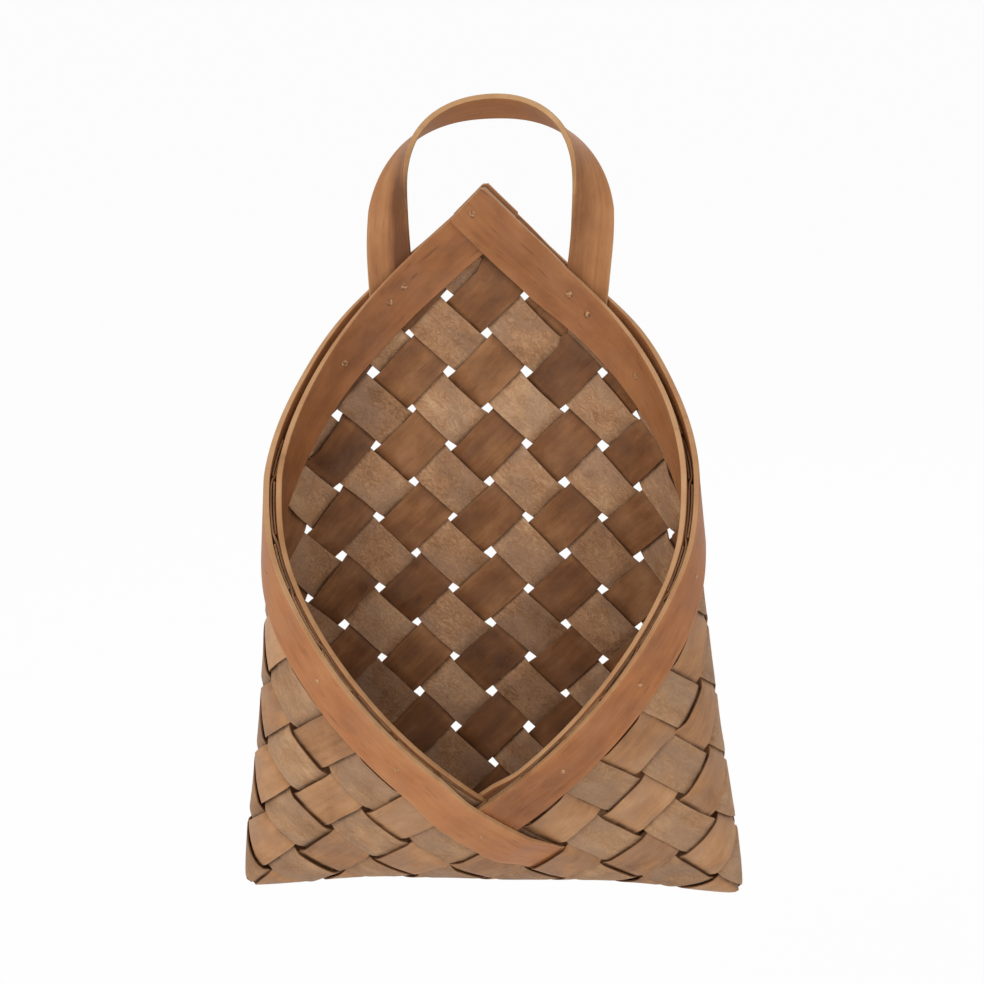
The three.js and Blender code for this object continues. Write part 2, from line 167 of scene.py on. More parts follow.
@dataclass
class BagWall:
    """The wall that the plaiting follows, as a flat pattern of diamonds wrapped round the bag."""

    pitch: float = 0.0255
    diamonds_across: int = 7
    diamonds_up: float = 9.5
    fold_standoff: float = 0.0293
    fold_rise: float = 0.205
    corner_sag: float = 0.0061
    corner_power: int = 4
    sag_rise: float = 0.172
    fold_draw: float = 0.003
    draw_drop: float = 1.6
    draw_rise: float = 0.018
    fold_pinch: float = 0.04
    side_stretch: float = 0.047
    pinch_rise: float = 0.025
    stretch_rise: float = 0.215
    fold_ease: float = 4.6
    side_swell_low: float = 0.0214
    side_rise_low: float = 0.0378
    side_swell_high: float = 0.0785
    side_rise_high: float = 0.485
    front_bow: float = 3.87
    front_rise: float = 0.756
    fold_round: float = 0.004
    least_bow: float = 1e-6
    least_radius: float = 1e-9
    columns: int = 841
    levels: int = 381
    origin: Vector = field(default_factory=Vector)

    def __post_init__(self) -> None:
        """Works out the wall's points and normals on a fine grid of girth and height."""
        self.girth = 2 * self.diamonds_across
        self.diamond = self.pitch * math.sqrt(2.0)
        self.half_girth = self.diamonds_across * self.diamond
        self.top = (self.diamonds_up + 1.0) * self.diamond
        around, height = np.meshgrid(
            np.linspace(0.0, self.half_girth, self.columns),
            np.linspace(0.0, self.top, self.levels),
            indexing="ij",
        )
        across, back = self._plan(around, height)
        run = np.hypot(np.diff(across, axis=1), np.diff(back, axis=1))
        rise = np.sqrt(np.maximum((self.top / (self.levels - 1)) ** 2 - run**2, 0.0))
        up = np.concatenate([np.zeros((self.columns, 1)), np.cumsum(rise, axis=1)], axis=1)
        corner = np.sin(np.pi * around / self.half_girth) ** self.corner_power
        drawn = self.fold_draw * (1.0 - self.draw_drop * corner) * np.exp(-height / self.draw_rise)
        up = up - self.corner_sag * corner * np.exp(-height / self.sag_rise) + drawn
        self.grid = np.stack([across, back, up], axis=-1)
        normal = np.cross(np.gradient(self.grid, axis=1), np.gradient(self.grid, axis=0))
        length = np.linalg.norm(normal, axis=-1, keepdims=True)
        self.normals = normal / np.maximum(length, TINY)
        self.normals[length[..., 0] < TINY] = (1.0, 0.0, 0.0)

    def _plan(self, around: Array, height: Array) -> Arrays:
        """Gives the plan of the wall: a flat back, a round side and a bowed front.

        Args:
            around: Distance round the bag from the middle of the back.
            height: Distance up the wall from the bottom fold.

        Returns:
            The distance to the right and the distance back.
        """
        radius = self.side_swell_low * (1.0 - np.exp(-height / self.side_rise_low))
        radius = radius + self.side_swell_high * (1.0 - np.exp(-height / self.side_rise_high))
        bow = self.front_bow * (1.0 - np.exp(-height / self.front_rise))
        bow = np.maximum(bow, self.least_bow)
        flat = (self.half_girth - np.pi * radius) / (1.0 + bow / np.sin(bow))
        standoff = np.maximum(0.0, 1.0 - height / self.fold_rise) ** self.fold_ease
        side_turn = (around - flat) / np.maximum(radius, self.least_radius)
        front_radius = radius + flat / np.sin(bow)
        front_turn = (self.half_girth - around) / front_radius
        on_side = around > flat
        on_front = around >= flat + radius * (np.pi - bow)
        right = np.where(on_side, flat + radius * np.sin(side_turn), around)
        forward = np.where(on_side, radius * (1.0 - np.cos(side_turn)), 0.0)
        bulge = radius * (1.0 + np.cos(bow)) + front_radius * (np.cos(front_turn) - np.cos(bow))
        right = np.where(on_front, front_radius * np.sin(front_turn), right)
        forward = np.where(on_front, bulge, forward)
        pinch = np.exp(-height / self.pinch_rise)
        side_share = np.minimum(around / (self.half_girth / 2.0), 1.0)
        stretch = self.side_stretch * side_share**2
        stretch = stretch * np.maximum(0.0, 1.0 - height / self.stretch_rise)
        right = right * (1.0 - self.fold_pinch * pinch + stretch * (1.0 - pinch))
        return right, -forward - self.fold_standoff * standoff

    def _sample(self, around: Array, height: Array) -> Arrays:
        """Reads the grid between its nodes, mirrored for the left half.

        Args:
            around: Signed distance round the bag from the middle of the back.
            height: Distance up the wall from the bottom fold.

        Returns:
            Points and unit normals, one row each.
        """
        column = np.clip(np.abs(around) / self.half_girth, 0.0, 1.0) * (self.columns - 1)
        level = np.clip(height / self.top, 0.0, 1.0) * (self.levels - 1)
        i = np.minimum(column.astype(int), self.columns - 2)
        j = np.minimum(level.astype(int), self.levels - 2)
        p = (column - i)[:, None]
        q = (level - j)[:, None]
        mirror = np.ones((len(around), 3))
        mirror[around < 0.0, 0] = -1.0

        def between(values: Array) -> Array:
            """Mixes the four nodes round each place.

            Args:
                values: Vectors on the grid.

            Returns:
                One vector for each place.
            """
            low = values[i, j] * (1.0 - p) + values[i + 1, j] * p
            high = values[i, j + 1] * (1.0 - p) + values[i + 1, j + 1] * p
            return (low * (1.0 - q) + high * q) * mirror

        return between(self.grid), unit(between(self.normals))

    def spread(self, right: Array, down: Array) -> Arrays:
        """Wraps places of the pattern round the bag.

        Args:
            right: Diamonds to the right of the back's middle.
            down: Diamonds below the tip of the mouth.

        Returns:
            Signed distances round the bag, and distances up the wall.
        """
        side = np.where(down > self.diamonds_up, self.diamonds_across - right, right)
        around = (side - self.girth * np.round(side / self.girth)) * self.diamond
        return around, np.abs(self.diamonds_up - down) * self.diamond

    def place(self, right: Array, down: Array, offset: Array) -> Arrays:
        """Finds places on the wall or off it.

        Args:
            right: Diamonds to the right of the back's middle.
            down: Diamonds below the tip of the mouth.
            offset: Distance off the wall's middle, outwards.

        Returns:
            Points in the basket's frame, and the wall's normals there.
        """
        around, height = self.spread(np.asarray(right, float), np.asarray(down, float))
        points, normals = self._sample(around, height)
        opposite = np.where(around < 0.0, -self.half_girth, self.half_girth) - around
        others = self._sample(opposite, height)[1]
        share = (0.5 + 0.5 * smooth(height, 0.0, self.fold_round))[:, None]
        normals = unit(normals * share + others * (1.0 - share))
        return points + normals * np.asarray(offset)[:, None] - np.array(self.origin), normals

    @staticmethod
    def strip(family: Family, across: Array, along: Array) -> Arrays:
        """Turns places on a strip into diamonds to the right and diamonds down."""
        return family.value * (across - along) / 2.0, (across + along) / 2.0


Number = Union[float, "Value"]


class Value:
    """A float socket that takes part in Python arithmetic."""

    def __init__(self, graph: "Graph", socket: bpy.types.NodeSocket) -> None:
        """Keeps the socket and the graph that its maths goes into."""
        self.graph = graph
        self.socket = socket

    def maths(self, operation: str, *operands: Number) -> "Value":
        """Adds one Math node with these operands."""
        inputs = dict(enumerate(operands))
        return self.graph.node("ShaderNodeMath", {"operation": operation}, inputs)

    def __add__(self, other: Number) -> "Value":
        """Sum."""
        return self.maths("ADD", self, other)

    def __sub__(self, other: Number) -> "Value":
        """Difference."""
        return self.maths("SUBTRACT", self, other)

    def __rsub__(self, other: Number) -> "Value":
        """Difference from a number."""
        return self.maths("SUBTRACT", other, self)

    def __mul__(self, other: Number) -> "Value":
        """Product."""
        return self.maths("MULTIPLY", self, other)

    def eased(self, start: float, end: float) -> "Value":
        """Eases from 0 at start to 1 at end."""
        inputs = {"Value": self, "From Min": start, "From Max": end}
        return self.graph.node("ShaderNodeMapRange", {"interpolation_type": "SMOOTHSTEP"}, inputs)


class Mark(Enum):
    """Marks in wood, and the patches of the painted seam shade: length, width, detail, roughness
    and distortion of their noise.
    """

    WAVE = (0.06, 0.02, 2.0, 0.5, 0.0)
    STREAK = (0.09, 0.0022, 5.0, 0.62, 0.0)
    FIBRE = (0.012, 0.0004, 3.0, 0.6, 0.0)
    BLOTCH = (0.019, 0.011, 3.0, 0.55, 0.0)
    CURL = (0.0042, 0.0026, 5.0, 0.66, 1.9)
    PORE = (0.007, 0.00022, 1.0, 0.5, 0.0)
    NICK = (0.016, 0.0013, 2.0, 0.5, 0.0)
    GREY = (0.024, 0.019, 4.0, 0.6, 0.0)
    DIRT = (0.03, 0.012, 2.0, 0.5, 0.0)


class Graph:
    """Node tree of one material or of the world."""

    def __init__(self, owner: Union[Finish, bpy.types.World]) -> None:
        """Empties the node tree.

        Args:
            owner: The material or world.
        """
        self.owner = owner
        owner.use_nodes = True
        self.tree = owner.node_tree
        self.tree.nodes.clear()

    def node(
        self,
        kind: str,
        settings: Optional[dict[str, Any]] = None,
        inputs: Optional[dict[Any, Any]] = None,
        output: Any = 0,
    ) -> Value:
        """Adds one node.

        Args:
            kind: The node's type.
            settings: Its properties.
            inputs: Numbers, colours or links for its sockets, by name or number.
            output: Name or number of the socket to go on from.

        Returns:
            That output socket, ready for arithmetic.
        """
        made = self.tree.nodes.new(kind)
        for key, value in (settings or {}).items():
            setattr(made, key, value)
        for key, value in (inputs or {}).items():
            socket = made.inputs[key]
            if isinstance(value, Value):
                self.tree.links.new(value.socket, socket)
            elif isinstance(value, tuple) and len(value) == 3 and socket.type == "RGBA":
                socket.default_value = (*value, 1.0)
            else:
                socket.default_value = value
        return Value(self, made.outputs[output])

    def surface(self, shader: Value) -> None:
        """Gives the material or world its surface.

        Args:
            shader: Output of the last shader.
        """
        kind = "World" if isinstance(self.owner, bpy.types.World) else "Material"
        output = self.tree.nodes.new(f"ShaderNodeOutput{kind}")
        self.tree.links.new(shader.socket, output.inputs["Surface"])

    def mix(self, share: Number, first: Any, second: Any) -> Value:
        """Mixes two colours by a share."""
        settings = {"data_type": "RGBA", "clamp_factor": True}
        return self.node("ShaderNodeMix", settings, {0: share, 6: first, 7: second}, 2)

    def noise(self, mark: Mark, along: Value, across: Value) -> Value:
        """Adds the noise of one kind of mark.

        Args:
            mark: Kind of mark.
            along: Distance along the grain.
            across: Distance across the grain.

        Returns:
            The noise's strength.
        """
        length, width, detail, roughness, distortion = mark.value
        inputs = {"X": along * (1.0 / length), "Y": across * (1.0 / width)}
        values = {"Vector": self.node("ShaderNodeCombineXYZ", None, inputs), "Scale": 1.0}
        values.update({"Detail": detail, "Roughness": roughness, "Distortion": distortion})
        return self.node("ShaderNodeTexNoise", {"noise_dimensions": "2D"}, values)


@dataclass(frozen=True)
class Wood:
    """A wood finish with its grain along the piece, in display colours of 0 to 255."""

    name: str
    dark: Shown
    middle: Shown
    pale: Shown
    side: Layer = Layer.OUTER
    rough: float = 0.55
    coat: float = 0.04
    streaks: float = 0.2
    fibres: float = 0.1
    mottle: float = 0.05
    blotches: float = 0.4
    pores: float = 0.12
    nicks: float = 0.2
    grime: float = 0.0
    weather: float = 0.0
    relief: float = 0.00004
    bend: float = 0.004
    stops: Triple = (0.2, 0.5, 0.8)
    pore_range: Pair = (0.66, 0.74)
    nick_range: Pair = (0.68, 0.78)
    grey_range: Pair = (0.42, 0.64)
    dirt_range: Pair = (0.38, 0.6)
    shaded_seam_range: Pair = (-0.1, 0.8)
    nick_shift: float = 5.0
    grey_shift: float = 3.0
    dirt_shift: float = 2.0
    pore_shade: float = 0.45
    nick_shade: float = 0.5
    grime_shade: float = 0.35
    seam_patch_share: float = 0.8
    faded_own: float = 0.6
    faded_grey: float = 0.33
    streak_relief: float = 2.0
    pore_relief: float = 0.4
    curl_relief: float = 6.0
    rough_spread: float = 0.25
    coat_rough: float = 0.35
    specular: float = 0.25

    def build(self) -> Finish:
        """Makes the material: streaks, fibres, curly mottle, pores, nicks, blotches, patches and
        painted shade along the seams.

        Returns:
            The finished material.
        """
        dark, middle, pale = (tint(*colour) for colour in (self.dark, self.middle, self.pale))
        grey = sum(middle) / 3.0
        faded = tuple(self.faded_own * c + self.faded_grey * grey for c in middle)
        graph = Graph(bpy.data.materials.new(self.name))
        place = graph.node("ShaderNodeUVMap", {"uv_map": GRAIN_MAP})
        along, across = (graph.node("ShaderNodeSeparateXYZ", None, {0: place}, c) for c in "XY")
        tone = graph.node("ShaderNodeAttribute", {"attribute_name": TONE}, None, "Fac")
        depth = graph.node("ShaderNodeAttribute", {"attribute_name": DEPTH}, None, "Fac")
        bent = across + (graph.noise(Mark.WAVE, along, across) - MIDDLE) * self.bend
        streak = graph.noise(Mark.STREAK, along, bent) - MIDDLE
        fibre = graph.noise(Mark.FIBRE, along, bent) - MIDDLE
        blotch = graph.noise(Mark.BLOTCH, along, across) - MIDDLE
        curl = graph.noise(Mark.CURL, along, across) - MIDDLE
        level = streak * self.streaks + fibre * self.fibres + blotch * self.blotches
        level = level + curl * self.mottle + tone
        low, mid, high = self.stops
        colour = graph.mix((level - low) * (1.0 / (mid - low)), dark, middle)
        colour = graph.mix((level - mid) * (1.0 / (high - mid)), colour, pale)
        pore = graph.noise(Mark.PORE, along, bent).eased(*self.pore_range)
        nick = graph.noise(Mark.NICK, along, bent + self.nick_shift).eased(*self.nick_range)
        patch = graph.noise(Mark.GREY, along + self.grey_shift, across).eased(*self.grey_range)
        # Painted shade along the seams: where a strip passes under its neighbour it is darkened as
        # the shadow in the crevice, in patches that also stand for dirt.
        shade_and_dirt_patches = graph.noise(Mark.DIRT, along, across + self.dirt_shift).eased(*self.dirt_range)
        shade_and_dirt_patches = shade_and_dirt_patches * self.seam_patch_share + (1.0 - self.seam_patch_share)
        shaded_seam = (depth * (-1.0 * self.side.value)).eased(*self.shaded_seam_range)
        for share, mark_colour in (
            (pore * self.pores, tuple(c * self.pore_shade for c in dark)),
            (nick * self.nicks, tuple(c * self.nick_shade for c in dark)),
            (patch * self.weather, faded),
            (shaded_seam * shade_and_dirt_patches * self.grime, tuple(c * self.grime_shade for c in dark)),
        ):
            colour = graph.mix(share, colour, mark_colour)
        height = streak * (self.streak_relief * self.streaks) + fibre - pore * self.pore_relief
        height = height + curl * (self.curl_relief * self.mottle)
        bump = {"Strength": 1.0, "Distance": self.relief, "Height": height}
        inputs = {
            "Base Color": colour,
            "Roughness": fibre * self.rough_spread + blotch * self.rough_spread + self.rough,
            "Normal": graph.node("ShaderNodeBump", None, bump),
            "Coat Weight": self.coat,
            "Coat Roughness": self.coat_rough,
            "Specular IOR Level": self.specular,
        }
        graph.surface(graph.node("ShaderNodeBsdfPrincipled", None, inputs))
        return graph.owner


@dataclass(frozen=True)
class NailMetal:
    """Dull metal of the nails, stained over by the varnish, in display colours of 0 to 255."""

    name: str
    bright: Shown
    stained: Shown
    spot_scale: float = 900.0
    spot_detail: float = 3.0
    worn_range: Pair = (0.4, 0.62)
    worn_metal: float = 0.25
    rough: float = 0.66
    worn_gloss: float = 0.2

    def build(self) -> Finish:
        """Makes the material: metal that is bare on its worn spots and stained elsewhere.

        Returns:
            The finished material.
        """
        graph = Graph(bpy.data.materials.new(self.name))
        place = graph.node("ShaderNodeTexCoord", None, None, "Object")
        spots = {"Vector": place, "Scale": self.spot_scale, "Detail": self.spot_detail}
        worn = graph.node("ShaderNodeTexNoise", None, spots).eased(*self.worn_range)
        inputs = {
            "Base Color": graph.mix(worn, tint(*self.stained), tint(*self.bright)),
            "Metallic": worn * self.worn_metal,
            "Roughness": self.rough - worn * self.worn_gloss,
        }
        graph.surface(graph.node("ShaderNodeBsdfPrincipled", None, inputs))
        return graph.owner


@dataclass
class Course:
    """How a ribbon lies: the middle, outer side, grain, tone and depth at each of its places."""

    points: Array
    normals: Array
    grain: Array
    tone: Array
    depth: Optional[Array] = None


@dataclass
class Ribbon:
    """A long thin strip of wood, made as a grid that is laid on its course and thickened."""

    name: str
    rows: int
    columns: int
    thickness: float
    finishes: Sequence[Finish]
    edge_round: float
    thinning: Optional[Callable[[Array], Array]] = None
    edge_segments: int = 2
    edge_angle: float = 50.0

    def lay(self, shape: Callable[[Array, Array], Course]) -> Piece:
        """Builds the strip.

        Args:
            shape: Gives the course for shares of the width and of the length.

        Returns:
            The finished piece, linked to the scene.
        """
        shell = bmesh.new()
        bmesh.ops.create_grid(shell, x_segments=self.columns, y_segments=self.rows, size=0.5)
        shell.verts.ensure_lookup_table()
        flat = np.array([vert.co[:2] for vert in shell.verts])
        low = flat.min(axis=0)
        shares = (flat - low) / (flat.max(axis=0) - low)
        made = shape(shares[:, 0], shares[:, 1])
        depths = np.zeros_like(made.tone) if made.depth is None else made.depth
        tone = shell.verts.layers.float.new(TONE)
        depth = shell.verts.layers.float.new(DEPTH)
        for vert, point, shade, under in zip(shell.verts, made.points, made.tone, depths):
            vert.co = point
            vert[tone] = shade
            vert[depth] = under
        shell.normal_update()
        if sum(v.normal.dot(Vector(n)) for v, n in zip(shell.verts, made.normals)) < 0.0:
            bmesh.ops.reverse_faces(shell, faces=shell.faces[:])
        grain = shell.loops.layers.uv.new(GRAIN_MAP)
        for face in shell.faces:
            face.smooth = True
            for loop in face.loops:
                loop[grain].uv = made.grain[loop.vert.index]
        piece = add_mesh(self.name, shell, *self.finishes)
        self._thicken(piece, shares[:, 1])
        return piece

    def _thicken(self, piece: Piece, along: Array) -> None:
        """Gives the strip its thickness and rounds its edges.

        Args:
            piece: The strip's middle surface.
            along: Share of the length at each vertex.
        """
        solid = piece.modifiers.new("thickness", "SOLIDIFY")
        solid.thickness = self.thickness
        solid.offset = 0.0
        solid.material_offset = 1
        solid.material_offset_rim = 2
        if self.thinning is not None:
            group = piece.vertex_groups.new(name="thickness")
            for index, weight in enumerate(self.thinning(along)):
                group.add([index], float(weight), "REPLACE")
            solid.vertex_group = group.name
        edge = piece.modifiers.new("edge", "BEVEL")
        edge.width = self.edge_round
        edge.segments = self.edge_segments
        edge.limit_method = "ANGLE"
        edge.angle_limit = math.radians(self.edge_angle)
        edge.harden_normals = True


@dataclass
class Plaiting:
    """The two families of splints, plaited over one and under one, round the bottom fold."""

    wall: BagWall
    width: float = 0.0216
    thickness: float = 0.0008
    edge_round: float = 0.00018
    arms: tuple[int, ...] = (0, 1, 2, 3, 4, 5, 12)
    rows_per_cell: int = 16
    columns: int = 12
    fold_reach: float = 1.3
    bend_share: float = 0.14
    wave: float = 0.00085
    wave_spread: float = 0.00028
    wave_least: float = 0.00062
    wave_rim: float = 0.00072
    wave_back: float = 0.00092
    rim_reach: float = 0.75
    back_depth: float = 0.03
    draw_scale: float = 71.0
    draw_skew: float = 0.7
    draw_gain: float = 1.6
    edge_lift: float = 0.00045
    lift_least: float = 0.1
    lift_draw: float = 9.0
    edge_wander: float = 0.0008
    wander_run: float = 0.9
    wander_sides: float = 2.0
    sway: float = 0.001
    sway_run: float = 0.55
    sway_draw: float = 8.0
    tuck_lift: float = 0.0011
    tuck_arm: int = 2
    tuck_cell: int = 14
    tone_spread: float = 0.19
    tone_draw: float = 23.0
    own_tone: float = 0.09
    own_draw: Triple = (3.7, 5.1, 0.4)
    seed_step: float = 1.37
    seed_rising: float = 20.0
    seed_across: float = 0.3
    closing: float = 0.0025
    closing_reach: float = 0.3
    closings: tuple[tuple[Family, int, float], ...] = (
        (Family.RISING, 0, 1.0),
        (Family.RISING, 2, 1.0),
        (Family.RISING, 0, 6.0),
        (Family.FALLING, 0, 6.0),
        (Family.FALLING, 1, 11.0),
        (Family.RISING, 1, 15.0),
        (Family.FALLING, 0, 16.0),
    )
    outer_rough: Wood = Wood(
        "splint_outer_rough", (118, 84, 57), (164, 123, 87), (194, 154, 116), rough=0.72,
        mottle=0.5, streaks=0.16, blotches=0.55, grime=0.75, weather=0.42, relief=0.00009,
    )
    outer_smooth: Wood = Wood(
        "splint_outer_smooth", (122, 82, 53), (170, 122, 81), (194, 149, 108), rough=0.6,
        mottle=0.2, blotches=0.6, grime=0.75, weather=0.35,
    )
    inner_smooth: Wood = Wood(
        "splint_inner_smooth", (82, 49, 27), (127, 82, 48), (164, 116, 76), Layer.INNER,
        rough=0.64, coat=0.0, mottle=0.14, blotches=0.6, grime=0.5, weather=0.22,
    )
    inner_rough: Wood = Wood(
        "splint_inner_rough", (120, 85, 57), (168, 124, 88), (202, 163, 125), Layer.INNER,
        rough=0.75, coat=0.0, mottle=0.7, streaks=0.1, blotches=0.45, grime=0.5, weather=0.4,
        relief=0.0001,
    )
    # The splints' cut edges are painted dark brown as painted shade, for the shadow lines along the
    # strips' edges.
    shaded_cut_edge: Wood = Wood("splint_edge_painted_shade", (78, 50, 30), (116, 78, 50), (150, 110, 76), rough=0.75)

    def __post_init__(self) -> None:
        """Works out the gap as a share of the pitch and makes the finishes."""
        self.half_gap = (self.wall.pitch - self.width) / self.wall.pitch / 2.0
        edge = self.shaded_cut_edge.build()
        self.finishes = {
            Family.RISING: [self.outer_rough.build(), self.inner_smooth.build(), edge],
            Family.FALLING: [self.outer_smooth.build(), self.inner_rough.build(), edge],
        }

    def _cells(self, arm: int) -> int:
        """Counts a splint's cells from the mouth's edge on the back to the one on the front."""
        drop = round(4.0 * self.wall.diamonds_up)
        return drop - (arm + (drop + 1 - arm) % self.wall.girth + 1)

    def _draws(self, points: Array, shift: float) -> Array:
        """Draws a number from about -1 to 1 for each crossing, the same for both its splints."""
        places = points * self.draw_scale + (shift, shift * self.draw_skew, 0.0)
        return drift(*places.T) * self.draw_gain

    def _splint(self, family: Family, arm: int, number: int) -> Piece:
        """Makes one splint.

        Args:
            family: Direction of the splint.
            arm: Number of its strip.
            number: Number of the piece in its family.

        Returns:
            The finished splint.
        """
        wall = self.wall
        count = self._cells(arm)
        right, down = wall.strip(family, arm + MIDDLE, np.arange(count) + MIDDLE)
        middles = wall.place(right, down, np.zeros(count))[0]
        around, height = wall.spread(right, down)
        rim = wall.diamonds_up - (height + np.abs(around)) / wall.diamond < self.rim_reach
        lift = self.wave + self.wave_spread * self._draws(middles, 0.0)
        most = np.where(middles[:, 1] > -self.back_depth, self.wave_back, np.inf)
        lifts = np.where(rim, self.wave_rim, np.clip(lift, self.wave_least, most))
        cup = 0.5 + 0.5 * self._draws(middles, self.lift_draw + family.value)
        cups = np.where(rim, 0.0, self.edge_lift * np.maximum(self.lift_least, cup))
        tones = self._draws(middles, self.tone_draw + family.value)
        start = 1.0 if (arm % 2 == 1) == family.left else -1.0
        x, y, z = self.own_draw
        own_tone = self.own_tone * noise.noise(Vector((number * x, family.value * y, z)))
        seed = number * self.seed_step + (self.seed_rising if family.left else 0.0)

        def shape(across: Array, along: Array) -> Course:
            """Lays the splint through its crossings.

            Args:
                across: Shares of the width.
                along: Shares of the length.

            Returns:
                The course of the splint.
            """
            row = self.half_gap + along * (count - 2.0 * self.half_gap)
            edge = 2.0 * across - 1.0
            wander = drift(row * self.wander_run, seed, edge * self.wander_sides)
            wander = wander * self.edge_wander
            for owner, strip, middle in self.closings:
                if owner is family and arm in (strip, strip + 1):
                    beside = np.sign(edge) == (1.0 if arm == strip else -1.0)
                    wider = self.closing * hump(row - middle, self.closing_reach)
                    wander = wander + beside * wider
            sway = self.sway * drift(row * self.sway_run, seed, self.sway_draw)
            wide = edge * (1.0 - 2.0 * self.half_gap) / 2.0
            wide = wide + (edge**2 * np.sign(edge) * wander + sway) / wall.pitch
            fold = 2.0 * wall.diamonds_up - arm - MIDDLE
            step = fold - row[np.argmin(np.abs(row - fold))]
            place = row + hump(row - fold, self.fold_reach) * (step - wide)
            wide = wide + arm + MIDDLE
            cell = np.clip(np.floor(place).astype(int), 0, count - 1)
            share = place - cell
            bend = np.clip(np.minimum(share, 1.0 - share) / self.bend_share, 0.0, 1.0)
            swing = np.sin(0.5 * np.pi * bend)
            depth = start * np.where(cell % 2 == 0, 1.0, -1.0) * swing
            offset = depth * (lifts[cell] + cups[cell] * edge**2)
            if family is Family.FALLING and arm == self.tuck_arm:
                over = np.clip(2.0 * (arm + 1.0 - wide), 0.0, 1.0) * swing
                offset = offset + self.tuck_lift * (cell == self.tuck_cell) * over
            points, normals = wall.place(*wall.strip(family, wide, place), offset)
            across_grain = edge * self.width / 2.0 + seed * self.seed_across
            grain = np.stack([place * wall.pitch + seed, across_grain], axis=1)
            tone = MIDDLE + own_tone + self.tone_spread * tones[cell] * swing
            return Course(points, normals, grain, tone, depth)

        name = f"{family.name.lower()}_splint_{number}"
        stock = (self.columns, self.thickness, self.finishes[family], self.edge_round)
        return Ribbon(name, count * self.rows_per_cell, *stock).lay(shape)

    def build(self) -> None:
        """Makes all the splints."""
        for family in Family:
            for number, arm in enumerate(self.arms, start=1):
                piece = self._splint(family, arm, number)
                settle(piece, f"splint_{family.name.lower()}_{number}")


